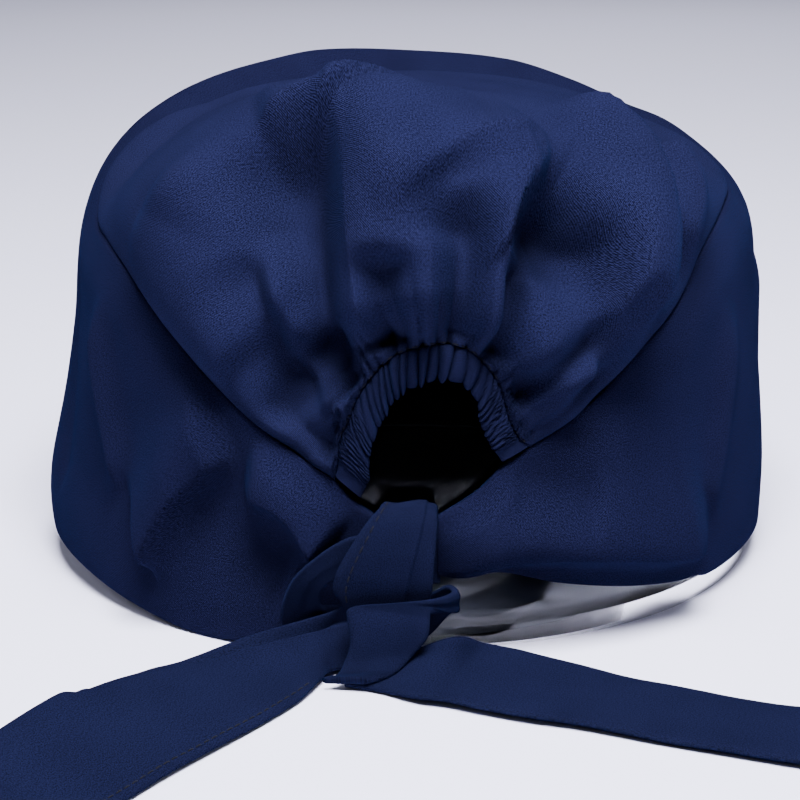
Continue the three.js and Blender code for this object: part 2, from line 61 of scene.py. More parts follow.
camera.rotation_euler = (math.radians(90 - camera_pitch), 0, 0)
bpy.context.scene.collection.objects.link(camera)
bpy.context.scene.camera = camera

# Display drum
# A clear plastic drum, open below, blown in one piece with a turned-out foot. It stands loose inside the
# cap and fills it out; its wall is about a millimetre and takes long vertical streaks from the mould.
drum_radius = 1000 * (stand_high[0] - stand_low[0]) / 2
drum_height = 1000 * stand_high[2]
drum_wall = 1.1
drum_foot_width = 6
drum_foot_height = 1.6
drum_sides = 144
drum_sections = (
    # out, up: shares of the radius and the height
    (1.0, 0.02),
    (0.965, 0.35),
    (0.915, 0.5),
    (0.84, 0.62),
    (0.74, 0.72),
    (0.6, 0.8),
    (0.42, 0.86),
    (0.22, 0.9),
    (0.0, 0.91),
)


def smooth_step(value):
    """0 up to 0, 1 from 1 on, and an even S between."""
    share = np.clip(value, 0.0, 1.0)
    return share * share * (3 - 2 * share)


def smooth_line(points, steps):
    """Evenly parted places on a curve that runs smoothly through a few points."""
    points = np.asarray(points, float)
    padded = np.vstack((points[:1], points, points[-1:]))
    share = np.linspace(0, len(points) - 1, steps)
    start = np.minimum(share.astype(int), len(points) - 2)
    t = (share - start)[:, None]
    before, here, ahead, beyond = (padded[start + offset] for offset in range(4))
    leaving = (ahead - before) / 2
    arriving = (beyond - here) / 2
    cubic = 2 * here - 2 * ahead + leaving + arriving
    square = 3 * ahead - 3 * here - 2 * leaving - arriving
    return cubic * t**3 + square * t**2 + leaving * t + here


def make_piece(name, points, faces, finish, cloth=None):
    """A smooth piece on the body. points are millimetres from the middle of the cap on the table; cloth
    gives each point its place on the flat cloth, in millimetres."""
    mesh = bpy.data.meshes.new(name)
    places = np.asarray(points, float) * 0.001 + np.array((ring_x, ring_y, 0.0))
    mesh.from_pydata(places.tolist(), [], [tuple(face) for face in faces])
    mesh.shade_smooth()
    if cloth is not None:
        layer = mesh.uv_layers.new(name="cloth")
        corners = np.zeros(len(mesh.loops), int)
        mesh.loops.foreach_get("vertex_index", corners)
        layer.data.foreach_set("uv", np.asarray(cloth, float)[corners].ravel())
    piece = bpy.data.objects.new(name, mesh)
    bpy.context.scene.collection.objects.link(piece)
    mesh.materials.append(finish)
    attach(piece, "root")
    return piece


def new_finish(name):
    """An empty node material: its tree and its shader."""
    finish = bpy.data.materials.new(name)
    finish.use_nodes = True
    return finish, finish.node_tree, finish.node_tree.nodes["Principled BSDF"]


def new_effect(name, inputs, outputs):
    """A shader group with named sockets: its tree, its input node and its output node."""
    tree = bpy.data.node_groups.new(name, "ShaderNodeTree")
    for socket_name, kind, value in inputs:
        socket = tree.interface.new_socket(socket_name, in_out="INPUT", socket_type=kind)
        if value is not None:
            socket.default_value = value
    for socket_name, kind in outputs:
        tree.interface.new_socket(socket_name, in_out="OUTPUT", socket_type=kind)
    return tree, tree.nodes.new("NodeGroupInput"), tree.nodes.new("NodeGroupOutput")


def add_effect(tree, effect, **values):
    """The group placed in a material, with values for its sockets; _ stands for a space."""
    node = tree.nodes.new("ShaderNodeGroup")
    node.node_tree = effect
    for key, value in values.items():
        node.inputs[key.replace("_", " ")].default_value = value
    return node


def add_math(tree, operation, first, second=None):
    node = tree.nodes.new("ShaderNodeMath")
    node.operation = operation
    for socket, value in zip(node.inputs, (first, second)):
        if value is None:
            continue
        if isinstance(value, (int, float)):
            socket.default_value = value
        else:
            tree.links.new(value, socket)
    return node.outputs[0]


def mottle_effect():
    """Soft uneven patches over a surface, from cloud-like noise at one scale."""
    tree, given, result = new_effect(
        "uneven_patches",
        [("Vector", "NodeSocketVector", None), ("Scale", "NodeSocketFloat", 20.0),
         ("Low", "NodeSocketFloat", 0.35), ("High", "NodeSocketFloat", 0.65)],
        [("Mask", "NodeSocketFloat")],
    )
    cloud = tree.nodes.new("ShaderNodeTexNoise")
    cloud.inputs["Detail"].default_value = 4
    tree.links.new(given.outputs["Vector"], cloud.inputs["Vector"])
    tree.links.new(given.outputs["Scale"], cloud.inputs["Scale"])
    reach = tree.nodes.new("ShaderNodeMapRange")
    tree.links.new(cloud.outputs["Fac"], reach.inputs["Value"])
    tree.links.new(given.outputs["Low"], reach.inputs["From Min"])
    tree.links.new(given.outputs["High"], reach.inputs["From Max"])
    tree.links.new(reach.outputs["Result"], result.inputs["Mask"])
    return tree


patches = mottle_effect()


def clear_plastic():
    """Clear moulded plastic with upright streaks: thick and glossy at the foot, where it bends light
    strongly, and thin above. Its grey tint is painted shade, which darkens the inside of the cap seen
    through the wall."""
    finish, tree, shader = new_finish("clear_plastic")
    # The grey tint is painted shade: it darkens the inside of the cap seen through the wall.
    shader.inputs["Base Color"].default_value = (0.44, 0.46, 0.49, 1)
    shader.inputs["Transmission Weight"].default_value = 1.0
    place = tree.nodes.new("ShaderNodeTexCoord")
    drawn = tree.nodes.new("ShaderNodeMapping")
    drawn.inputs["Scale"].default_value = (1.0, 1.0, 0.04)
    tree.links.new(place.outputs["Object"], drawn.inputs["Vector"])
    streaks = add_effect(tree, patches, Scale=160.0, Low=0.3, High=0.75)
    tree.links.new(drawn.outputs["Vector"], streaks.inputs["Vector"])
    tree.links.new(add_math(tree, "MULTIPLY", streaks.outputs["Mask"], 0.08), shader.inputs["Roughness"])
    heights = tree.nodes.new("ShaderNodeSeparateXYZ")
    tree.links.new(place.outputs["Object"], heights.inputs[0])
    thick = tree.nodes.new("ShaderNodeMapRange")
    for socket_name, value in (("From Min", 0.013), ("From Max", 0.019), ("To Min", 1.45), ("To Max", 1.13)):
        thick.inputs[socket_name].default_value = value
    tree.links.new(heights.outputs["Z"], thick.inputs["Value"])
    tree.links.new(thick.outputs["Result"], shader.inputs["IOR"])
    bump = tree.nodes.new("ShaderNodeBump")
    bump.inputs["Strength"].default_value = 0.08
    bump.inputs["Distance"].default_value = 0.0004
    tree.links.new(streaks.outputs["Mask"], bump.inputs["Height"])
    tree.links.new(bump.outputs["Normal"], shader.inputs["Normal"])
    return finish


def turned(profile, sides):
    """A closed outline turned round the upright axis: points and faces."""
    points = []
    for out, up in profile:
        for side in range(sides):
            angle = 2 * math.pi * side / sides
            points.append((out * math.sin(angle), -out * math.cos(angle), up))
    faces = []
    for row in range(len(profile) - 1):
        for side in range(sides):
            after = (side + 1) % sides
            high = row * sides
            low = high + sides
            faces.append((high + side, high + after, low + after, low + side))
    return points, faces


def drum_outline():
    """The drum's wall as a closed outline: down the outside, under the foot and up the inside."""
    outer = smooth_line([(out * drum_radius, up * drum_height) for out, up in drum_sections], 60)
    outer = np.vstack(([drum_radius, 0.0], [drum_radius, drum_foot_height * 0.7], outer[1:]))
    outer[-1, 0] = 0.01
    along = np.gradient(outer, axis=0)
    along /= np.linalg.norm(along, axis=1)[:, None]
    inner = outer + drum_wall * np.stack((along[:, 1], -along[:, 0]), axis=1)
    inner = inner[2:]
    inner[:, 0] = np.maximum(inner[:, 0], 0.01)
    foot = [(drum_radius - drum_foot_width, drum_foot_height), (drum_radius - drum_foot_width, 0.0)]
    inner = inner[inner[:, 1] > drum_foot_height]
    return [*outer.tolist()[::-1], *reversed(foot), *inner.tolist()]


drum_points, drum_faces = turned(drum_outline(), drum_sides)
drum = make_piece("display_drum", drum_points, drum_faces, clear_plastic())
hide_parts("clear_stand")

# Crown
# One piece of navy cotton twill, one layer, gathered into the elastic channel at the back and sewn to the
# band all round. It puffs out over the back opening and sinks behind the top of the band at the front.
cap_radius = 106.3
cap_height = 145.3
cap_sections = (
    # out, up: shares of the radius and the height
    (0.0, 1.0),
    (0.19, 0.998),
    (0.376, 0.988),
    (0.527, 0.968),
    (0.668, 0.926),
    (0.785, 0.86),
    (0.875, 0.771),
    (0.927, 0.654),
    (0.953, 0.523),
    (0.98, 0.372),
    (1.0, 0.206),
    (1.0, 0.096),
    (0.992, 0.0),
)
profile_line = smooth_line(np.array(cap_sections) * (cap_radius, cap_height), 1201)
profile_steps = np.linalg.norm(np.diff(profile_line, axis=0), axis=1)
profile_runs = np.concatenate(([0.0], np.cumsum(profile_steps)))
profile_length = profile_runs[-1]
profile_along = np.gradient(profile_line, profile_runs, axis=0)

crown_wall = 1.4
piece_gap = 0.3
fold_depth = 13.5
fold_width = 16
fold_fade = 9
fold_fade_less = 4
rim_rows = np.array((0.0, 0.4, 0.9, 1.6, 3.0))
edge_turn = 0.7
edge_turn_less = 0.6
edge_reach = 0.8
seam_sink = 8
seam_reach = 20
dip_depth = 10.5
dip_start = -62
dip_run = 66
puff_out = 6
puff_reach = 20
top_reach = 60
gather_narrow = 0.012
gather_wide = 0.045
gather_top = 0.2
gather_height = 2.8
gather_pinch = 0.42
gather_level = 0.55
crown_draw = 1.5 * gather_height
gather_reach = 10
lobe_height = 1.5
lobe_reach = 15

seam_table = (
    # azimuth in degrees from the back, down as a share of the profile, sink and collar as shares
    (17, 0.742, 0.0, 0.0),
    (22, 0.724, 0.1, 0.0),
    (29, 0.692, 0.18, 0.0),
    (38, 0.645, 0.25, 0.0),
    (46, 0.608, 0.25, 0.0),
    (57, 0.543, 0.25, 0.1),
    (72, 0.506, 0.2, 0.25),
    (87, 0.495, 0.15, 0.6),
    (99, 0.465, 0.25, 0.7),
    (111, 0.43, 0.6, 0.8),
    (121, 0.405, 0.8, 1.0),
    (129, 0.375, 0.8, 0.5),
    (141, 0.325, 0.9, 0.35),
    (155, 0.28, 1.0, 0.4),
    (180, 0.258, 1.0, 0.45),
    (205, 0.273, 1.0, 1.0),
    (218, 0.293, 0.95, 0.95),
    (234, 0.33, 0.85, 1.0),
    (247, 0.363, 0.85, 0.8),
    (256, 0.392, 0.55, 0.55),
    (264, 0.435, 0.3, 0.4),
    (272, 0.485, 0.2, 0.3),
    (283, 0.535, 0.25, 0.1),
    (293, 0.545, 0.25, 0.0),
    (304, 0.571, 0.25, 0.0),
    (318, 0.636, 0.25, 0.0),
    (328, 0.687, 0.2, 0.0),
    (338, 0.735, 0.12, 0.0),
    (348, 0.779, 0.0, 0.0),
)
seam_start = seam_table[0][0]
seam_end = seam_table[-1][0]
arch_table = (
    # azimuth, down: the stitch line round the back opening
    (-12, 0.779),
    (-11.4, 0.757),
    (-11.1, 0.728),
    (-9.8, 0.703),
    (-8.8, 0.68),
    (-7, 0.655),
    (-3.8, 0.627),
    (0.2, 0.613),
    (3.9, 0.609),
    (7.3, 0.616),
    (10.2, 0.636),
    (12.2, 0.662),
    (13.1, 0.687),
    (13.9, 0.711),
    (15.2, 0.73),
    (17, 0.742),
)
fold_table = (
    # azimuths and downs of the places it runs through, height, reach to the left and right, sharpness;
    # first the crown's: ridges are above 0, valleys below
    ((-23, -18.3, -14.6, -11.9, -10.2, -9.1, -7.8, -6.4),
     (0.28, 0.315, 0.362, 0.416, 0.468, 0.515, 0.567, 0.62), 1.3, 0.9, 1.5, 1.0),
    ((-31, -25, -20, -16), (0.37, 0.342, 0.336, 0.35), 0.5, 0.6, 1.2, 0.2),
    ((-26, -21.8, -18.3, -17, -15.8, -14, -11.8), (0.34, 0.381, 0.45, 0.512, 0.571, 0.632, 0.68),
     -1.4, 1.0, 0.75, 0.0),
    ((-15, -12.3, -9.8), (0.6, 0.64, 0.675), -0.9, 0.45, 0.4, 0.1),
    ((-26.2, -20.4, -17.2, -13.8, -9.6), (0.486, 0.563, 0.605, 0.651, 0.694), 1.0, 0.45, 0.6, 0.8),
    ((-28.3, -26, -23.4, -20.6, -17.3), (0.51, 0.549, 0.589, 0.649, 0.695), -0.5, 0.65, 0.3, 0.1),
    ((-4.3, -4.2, -3.8), (0.5, 0.56, 0.62), -0.8, 0.55, 0.4, 0.2),
    ((1.9, 1.8, 1.5), (0.48, 0.545, 0.61), 0.45, 0.35, 0.45, 0.5),
    ((7.4, 7.5, 6.9, 6.1), (0.44, 0.512, 0.557, 0.62), -0.9, 0.6, 0.35, 0.1),
    ((24, 21.5, 18, 15.8, 13.9, 12.4, 11.4, 10.8, 10.8),
     (0.47, 0.445, 0.438, 0.453, 0.475, 0.507, 0.542, 0.588, 0.63), 1.2, 0.9, 0.42, 0.9),
    ((14.5, 13.2, 12.3, 11.8), (0.51, 0.553, 0.594, 0.64), -0.9, 0.3, 0.4, 0.1),
    ((17, 16.3, 14.9, 13.3), (0.53, 0.555, 0.595, 0.642), 0.55, 0.3, 0.7, 0.4),
    ((17.5, 19.2, 21, 24.8, 29.9), (0.44, 0.455, 0.482, 0.517, 0.546), -1.2, 0.9, 0.6, 0.1),
    ((16.5, 19.3, 22.9, 25.8), (0.516, 0.534, 0.565, 0.6), 0.3, 0.5, 0.8, 0.3),
    ((20, 25.2, 28.2, 29.7, 27.5, 23.9, 19.3, 15),
     (0.43, 0.454, 0.485, 0.516, 0.546, 0.586, 0.628, 0.662), 0.7, 0.5, 1.1, 0.5),
    ((36, 40, 43, 43.6, 41.1, 38, 34, 28), (0.28, 0.315, 0.355, 0.4, 0.455, 0.511, 0.569, 0.625),
     0.8, 1.2, 0.4, 0.9),
    ((52, 50, 47, 43.5, 38), (0.35, 0.4, 0.455, 0.515, 0.58), -0.4, 0.4, 0.8, 0.2),
    ((58, 57, 52.5, 45), (0.38, 0.423, 0.475, 0.53), 0.6, 0.8, 0.5, 0.3),
    ((-5.4, -0.2, 7.4, 16.1, 25.5), (0.479, 0.446, 0.402, 0.378, 0.37), 0.36, 0.16, 1.0, 0.9),
    ((13.6, 16.4, 20.3, 28), (0.689, 0.67, 0.648, 0.605), -0.5, 0.3, 0.45, 0.6),
    ((15, 19.3, 26), (0.712, 0.687, 0.644), 0.35, 0.3, 0.3, 0.2),
    ((15.3, 21, 30), (0.728, 0.703, 0.656), -0.45, 0.25, 0.4, 0.6),
    ((-18.5, -12.8, -9.4), (0.6, 0.655, 0.68), -0.6, 0.3, 0.4, 0.4),
    ((-19, -13.5, -9.9), (0.63, 0.672, 0.697), 0.45, 0.35, 0.35, 0.2),
    ((-21, -15, -10.8), (0.652, 0.688, 0.713), -0.6, 0.35, 0.4, 0.4),
    ((-24, -17, -11.5), (0.685, 0.718, 0.75), -0.5, 0.3, 0.4, 0.4),
    ((-41, -38, -33), (0.498, 0.381, 0.284), 0.4, 1.2, 1.0, 0.1),
    ((-50, -35, -25), (0.45, 0.55, 0.64), 0.45, 1.2, 1.0, 0.1),
    ((-6, 4, 9), (0.2, 0.32, 0.43), 0.25, 2.0, 1.6, 0.0),
    # the band's, from the left of the knot to its right and then round the far side
    ((295, 300, 305.3, 310.5), (0.62, 0.705, 0.773, 0.85), 0.3, 0.4, 0.5, 0.9),
    ((276, 284, 290), (0.62, 0.75, 0.9), -0.15, 0.7, 0.6, 0.2),
    ((332, 329, 324.4, 321.3, 318.6), (0.755, 0.785, 0.832, 0.883, 0.93), 0.75, 1.5, 0.28, 1.0),
    ((333, 336.4, 340.2, 343.1, 345.1, 346.5), (0.798, 0.809, 0.817, 0.837, 0.863, 0.885),
     0.7, 0.3, 0.9, 1.0),
    ((324, 334, 342), (0.79, 0.85, 0.92), -0.3, 0.9, 0.9, 0.0),
    ((262, 292, 326, 347), (0.9, 0.95, 1.02, 0.97), 0.4, 1.5, 1.5, 0.0),
    ((3, 9.1, 17, 27.7, 39, 51), (0.894, 0.882, 0.878, 0.887, 0.906, 0.927), 0.8, 0.42, 1.3, 1.0),
    ((5, 15, 28, 40, 51), (0.915, 0.915, 0.94, 0.965, 0.985), -0.8, 1.0, 0.5, 0.0),
    ((13, 20, 27), (0.775, 0.79, 0.82), -0.25, 0.6, 0.5, 0.2),
    ((64, 55, 50), (0.62, 0.774, 0.869), 0.22, 0.5, 0.5, 0.6),
    ((92, 99, 103), (0.58, 0.76, 0.98), 0.3, 1.0, 0.6, 0.3),
    ((128, 124, 122), (0.52, 0.72, 0.96), 0.26, 0.7, 1.1, 0.2),
    ((160, 165, 171), (0.52, 0.72, 0.98), 0.22, 1.2, 0.8, 0.0),
    ((206, 201, 199), (0.5, 0.75, 0.96), 0.26, 0.8, 1.2, 0.1),
    ((240, 244, 246), (0.55, 0.75, 0.98), 0.3, 0.6, 1.0, 0.3),
)
drum_clearance = 0.35


def cap_point(azimuth, down, lift):
    """Places on the cap: azimuth in degrees from the back, down as a share of the profile from the middle
    of the top, and lift in millimetres out from the plain profile."""
    run = np.clip(down, 0.0, 1.0) * profile_length
    out, up = (np.interp(run, profile_runs, profile_line[:, axis]) for axis in (0, 1))
    along_out, along_up = (np.interp(run, profile_runs, profile_along[:, axis]) for axis in (0, 1))
    reach = out - along_up * lift
    angle = np.radians(azimuth)
    return np.stack((reach * np.sin(angle), -reach * np.cos(angle), up + along_out * lift), axis=-1)


def to_plan(azimuth, down):
    """The same places on a flat plan of the cap, in millimetres."""
    angle = np.radians(azimuth)
    reach = np.asarray(down) * profile_length
    return np.stack((reach * np.sin(angle), -reach * np.cos(angle)), axis=-1)


def from_plan(place):
    """Azimuth and down of places on the flat plan."""
    azimuth = np.degrees(np.arctan2(place[..., 0], -place[..., 1]))
    return azimuth, np.hypot(place[..., 0], place[..., 1]) / profile_length


def read_table(table, column, azimuth):
    """Smooth reading of one column of a table whose rows are in order of azimuth."""
    rows = np.array([row[:column + 1] for row in table], float)
    places = rows[:, 0]
    values = rows[:, column]
    padded_places = np.concatenate((places[:1], places, places[-1:]))
    padded_values = np.concatenate((values[:1], values, values[-1:]))
    slopes = (padded_values[2:] - padded_values[:-2]) / (padded_places[2:] - padded_places[:-2])
    angle = np.clip(azimuth, places[0], places[-1])
    row = np.clip(np.searchsorted(places, angle, side="left") - 1, 0, len(places) - 2)
    span = places[row + 1] - places[row]
    t = (angle - places[row]) / span
    start = 2 * t**3 - 3 * t**2 + 1
    leaving = (t**3 - 2 * t**2 + t) * slopes[row]
    arriving = (t**3 - t**2) * slopes[row + 1]
    return start * values[row] + (1 - start) * values[row + 1] + span * (leaving + arriving)


def nearest_on(line, place):
    """Distance from each place to a line of points, which side it lies on and the share along the line."""
    flat = place.reshape(-1, 2)
    best = np.full(len(flat), np.inf)
    side = np.ones(len(flat))
    share = np.zeros(len(flat))
    for step in range(len(line) - 1):
        along = line[step + 1] - line[step]
        offset = flat - line[step]
        part = np.clip(offset @ along / (along @ along), 0.0, 1.0)
        distance = np.hypot(*(offset - part[:, None] * along).T)
        closer = distance < best
        best = np.where(closer, distance, best)
        turn = np.sign(along[0] * offset[:, 1] - along[1] * offset[:, 0])
        side = np.where(closer, np.where(turn == 0, 1, turn), side)
        share = np.where(closer, (step + part) / (len(line) - 1), share)
    shape = place.shape[:-1]
    return best.reshape(shape), side.reshape(shape), share.reshape(shape)


def fold_lift(azimuth, down):
    """Height of all gathers and creases together. A sharp fold breaks off on its steeper side."""
    place = to_plan(azimuth, down)
    total = np.zeros(place.shape[:-1])
    for azimuths, downs, height, left, right, sharp in fold_table:
        line = smooth_line(to_plan(np.array(azimuths), np.array(downs)), 22)
        distance, side, share = nearest_on(line, place)
        reach = fold_width * np.where(side < 0, left, right)
        round_fold = np.exp(-((distance / reach)**2))
        sharp_fold = np.exp(-distance / reach * 1.25)
        steep = sharp * (reach < fold_width * max(left, right))
        taper = smooth_step(share * 4) * smooth_step((1 - share) * 6)
        total += fold_depth * height * taper * (round_fold + steep * (sharp_fold - round_fold))
    return total


def clear_of_drum(down, lift, wall):
    """The lift, held back softly where the wall would otherwise sink into the drum."""
    outline = smooth_line([(out * drum_radius, up * drum_height) for out, up in drum_sections], 160)
    runs = np.linspace(0, 1, 90)
    plain = cap_point(0.0, runs, 0.0)
    gaps = [np.hypot(outline[:, 0] + at[1], outline[:, 1] - at[2]).min() for at in plain]
    lowest = wall + drum_clearance - np.interp(down, runs, gaps)
    soft = 0.8
    return lowest + soft * np.logaddexp(0.0, (lift - lowest) / soft)


arch_line = smooth_line(to_plan(*np.array(arch_table, float).T), 241)
arch_lengths = np.concatenate(([0.0], np.cumsum(np.linalg.norm(np.diff(arch_line, axis=0), axis=1))))
random.seed(11)
gather_edges = [0.0]
while gather_edges[-1] < 1:
    at_top = math.exp(-((gather_edges[-1] - 0.5) / gather_top)**2)
    gather_size = (gather_narrow + gather_wide * at_top) * random.uniform(0.45, 1.6)
    gather_edges.append(gather_edges[-1] + gather_size)
gather_heights = np.array([random.uniform(0.5, 1.3) for edge in gather_edges])


def gather_rounds(share):
    """Rounded tops and pinched valleys of the cloth that the elastic draws up, along the arch. They are
    narrow and shallow on both legs, wide and deep at the top."""
    number = np.interp(share, gather_edges, np.arange(len(gather_edges)))
    rounded = np.abs(np.sin(np.pi * number))**gather_pinch
    at_top = np.exp(-(((share - 0.5) / gather_top)**2))
    heights = gather_heights[number.astype(int) % len(gather_edges)]
    return heights * (rounded - gather_level) * (0.75 + 0.6 * at_top)


def arch_share(place):
    """Distance from the arch and the share along it, drawn out evenly also far from the arch."""
    marks = arch_line[::3]
    distance = np.linalg.norm(place[..., None, :] - marks, axis=-1)
    away = distance.min(axis=-1)
    weight = np.exp(-(distance - away[..., None]) / (0.6 + 0.1 * away[..., None]))
    return away, (weight * np.linspace(0, 1, len(marks))).sum(axis=-1) / weight.sum(axis=-1)


def crown_lift(azimuth, down, from_edge, on_arch):
    """Lift of the crown. from_edge is the distance to its edge, on_arch is 1 above the opening."""
    outward = smooth_step(down * profile_length / top_reach)
    gathers = fold_lift(azimuth, down) * smooth_step(from_edge / (fold_fade - fold_fade_less * on_arch))
    behind = np.cos(np.radians(azimuth))
    hump = from_edge / puff_reach * np.exp(1 - from_edge / puff_reach)
    puff = puff_out * smooth_step((behind - 0.35) * 1.8) * hump
    place = to_plan(azimuth, down)
    away, share = arch_share(place)
    ends = smooth_step(share * 12) * smooth_step((1 - share) * 12)
    reach = gather_reach * (0.35 + np.exp(-(((share - 0.5) / gather_top)**2)))
    drawn = crown_draw * gather_rounds(share) * np.exp(-((away / reach)**2)) * ends
    lobes = lobe_height * np.sin(2 * np.pi * 8.5 * share + 0.6) * (away / lobe_reach)
    lobes = lobes * np.exp(1 - away / lobe_reach) * ends
    dip = dip_depth * smooth_step((place[..., 1] - dip_start) / dip_run)
    near_seam = (1 - on_arch) * (1 - smooth_step(from_edge / seam_reach))
    sink = seam_sink * read_table(seam_table, 2, np.mod(azimuth, 360)) * (1 - on_arch)
    turned_in = (edge_turn - edge_turn_less * on_arch) * np.exp(-((from_edge / edge_reach)**2))
    lift = outward * (gathers + puff + drawn + lobes) - dip * (1 - near_seam) - sink * near_seam - turned_in
    return clear_of_drum(down, lift, crown_wall)


def sheet_faces(columns, rows):
    """Faces of an outer and an inner grid, given one after the other, closed along their edges."""
    faces = []
    inner = columns * rows
    for column in range(columns - 1):
        here = column * rows
        after = here + rows
        for row in range(rows - 1):
            faces.append((here + row, here + row + 1, after + row + 1, after + row))
            beside = inner + after + row
            faces.append((inner + here + row, beside, beside + 1, inner + here + row + 1))
        faces.append((here, after, inner + after, inner + here))
        low = rows - 1
        faces.append((inner + here + low, inner + after + low, after + low, here + low))
    last = (columns - 1) * rows
    for row in range(rows - 1):
        faces.append((row, inner + row, inner + row + 1, row + 1))
        faces.append((last + row, last + row + 1, inner + last + row + 1, inner + last + row))
    return faces


def weave_effect():
    """Twill: fine slanting ribs crossed by finer threads. Vector is in millimetres on the cloth."""
    tree, given, result = new_effect(
        "twill_weave",
        [("Vector", "NodeSocketVector", None), ("Rib Spacing", "NodeSocketFloat", 0.5),
         ("Thread Spacing", "NodeSocketFloat", 0.36), ("Slub", "NodeSocketFloat", 0.5)],
        [("Height", "NodeSocketFloat"), ("Slubs", "NodeSocketFloat")],
    )
    split = tree.nodes.new("ShaderNodeSeparateXYZ")
    tree.links.new(given.outputs["Vector"], split.inputs[0])
    slant = add_math(tree, "ADD", split.outputs["X"], split.outputs["Y"])
    cross = add_math(tree, "SUBTRACT", split.outputs["X"], split.outputs["Y"])
    waves = []
    for run, spacing in ((slant, "Rib Spacing"), (cross, "Thread Spacing")):
        turns = add_math(tree, "DIVIDE", run, given.outputs[spacing])
        wave = add_math(tree, "SINE", add_math(tree, "MULTIPLY", turns, 2 * math.pi))
        waves.append(add_math(tree, "MULTIPLY", add_math(tree, "ADD", wave, 1.0), 0.5))
    threads = add_math(tree, "ADD", add_math(tree, "MULTIPLY", waves[1], 0.35), 0.65)
    ribs = add_math(tree, "MULTIPLY", waves[0], threads)
    cloud = tree.nodes.new("ShaderNodeTexNoise")
    cloud.inputs["Scale"].default_value = 2.6
    cloud.inputs["Detail"].default_value = 3
    tree.links.new(given.outputs["Vector"], cloud.inputs["Vector"])
    uneven = add_math(tree, "MULTIPLY", cloud.outputs["Fac"], given.outputs["Slub"])
    tree.links.new(add_math(tree, "ADD", ribs, uneven), result.inputs["Height"])
    tree.links.new(cloud.outputs["Fac"], result.inputs["Slubs"])
    return tree


weave = weave_effect()


def navy_twill(name, dark, light):
    """Matte navy twill with next to no sheen. dark and light are its colours in and on the ribs."""
    finish, tree, shader = new_finish(name)
    shader.inputs["Roughness"].default_value = 0.9
    shader.inputs["Specular IOR Level"].default_value = 0.0
    shader.inputs["Sheen Weight"].default_value = 0.02
    shader.inputs["Sheen Roughness"].default_value = 0.35
    shader.inputs["Sheen Tint"].default_value = (0.1, 0.25, 0.9, 1)
    cloth = tree.nodes.new("ShaderNodeUVMap")
    cloth.uv_map = "cloth"
    ribs = add_effect(tree, weave)
    tree.links.new(cloth.outputs["UV"], ribs.inputs["Vector"])
    faded = add_effect(tree, patches, Scale=0.045, Low=0.3, High=0.7)
    tree.links.new(cloth.outputs["UV"], faded.inputs["Vector"])
    share = add_math(tree, "MULTIPLY", ribs.outputs["Height"], 0.62)
    share = add_math(tree, "ADD", share, add_math(tree, "MULTIPLY", faded.outputs["Mask"], 0.18))
    specks = add_math(tree, "MULTIPLY", add_math(tree, "SUBTRACT", ribs.outputs["Slubs"], 0.5), 3.4)
    share = add_math(tree, "ADD", share, specks)
    mix = tree.nodes.new("ShaderNodeMix")
    mix.data_type = "RGBA"
    mix.inputs["A"].default_value = (*dark, 1)
    mix.inputs["B"].default_value = (*light, 1)
    tree.links.new(share, mix.inputs["Factor"])
    tree.links.new(mix.outputs["Result"], shader.inputs["Base Color"])
    bump = tree.nodes.new("ShaderNodeBump")
    bump.inputs["Strength"].default_value = 0.8
    bump.inputs["Distance"].default_value = 0.00011
    tree.links.new(ribs.outputs["Height"], bump.inputs["Height"])
    tree.links.new(bump.outputs["Normal"], shader.inputs["Normal"])
    return finish


crown_twill = navy_twill("navy_twill_crown", (0.0025, 0.0027, 0.009), (0.0114, 0.0129, 0.0402))


def crown_mesh():
    """Points, faces and cloth places: rows run in from the edge to one place in the middle of the top."""
    arch_steps = 220
    seam_steps = 290
    far_rows = 86
    rows_reach = 0.975
    arch_edge = arch_line[np.linspace(0, len(arch_line) - 1, arch_steps + 1).round().astype(int)]
    arch_azimuth, arch_down = from_plan(arch_edge)
    turn = np.linspace(-1, 1, seam_steps + 1)[1:-1]
    middle = (seam_start + seam_end) / 2
    seam_azimuth = middle + (seam_end - seam_start) / 2 * (1.3 * turn - 0.3 * turn**3)
    azimuth = np.concatenate((arch_azimuth, seam_azimuth))
    edge = np.concatenate((arch_down, read_table(seam_table, 1, seam_azimuth)))
    edge = edge * profile_length - piece_gap / 2
    on_arch = np.concatenate((np.ones(len(arch_azimuth)), np.zeros(len(seam_azimuth))))
    rows = len(rim_rows) + far_rows
    far = np.linspace(0, 1, far_rows + 1)[1:]**1.3
    from_edge = np.empty((len(azimuth), rows))
    from_edge[:, :len(rim_rows)] = rim_rows
    from_edge[:, len(rim_rows):] = rim_rows[-1] + (edge[:, None] * rows_reach - rim_rows[-1]) * far
    down = (edge[:, None] - from_edge) / profile_length
    angles = np.repeat(azimuth[:, None], rows, axis=1)
    lift = crown_lift(angles, down, from_edge, on_arch[:, None])
    outside = cap_point(angles, down, lift)
    inside = cap_point(angles, down, lift - crown_wall)
    cloth = to_plan(angles, down).reshape(-1, 2)
    columns = len(azimuth)
    middle_lift = float(lift[:, -1].mean())
    poles = [cap_point(0.0, 0.0, middle_lift), cap_point(0.0, 0.0, middle_lift - crown_wall)]
    points = np.vstack((outside.reshape(-1, 3), inside.reshape(-1, 3), poles))
    cloth = np.vstack((cloth, cloth, np.zeros((2, 2))))
    faces = []
    inner = columns * rows
    top = 2 * inner
    last = rows - 1
    for column in range(columns):
        here = column * rows
        after = (column + 1) % columns * rows
        for row in range(last):
            faces.append((here + row, after + row, after + row + 1, here + row + 1))
            beside = inner + after + row
            faces.append((inner + here + row, inner + here + row + 1, beside + 1, beside))
        faces.append((here, inner + here, inner + after, after))
        faces.append((top, here + last, after + last))
        faces.append((top + 1, inner + after + last, inner + here + last))
    return points, faces, cloth


crown_points, crown_faces, crown_cloth = crown_mesh()
crown = make_piece("crown_cloth", crown_points, crown_faces, crown_twill, crown_cloth)
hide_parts("crown")

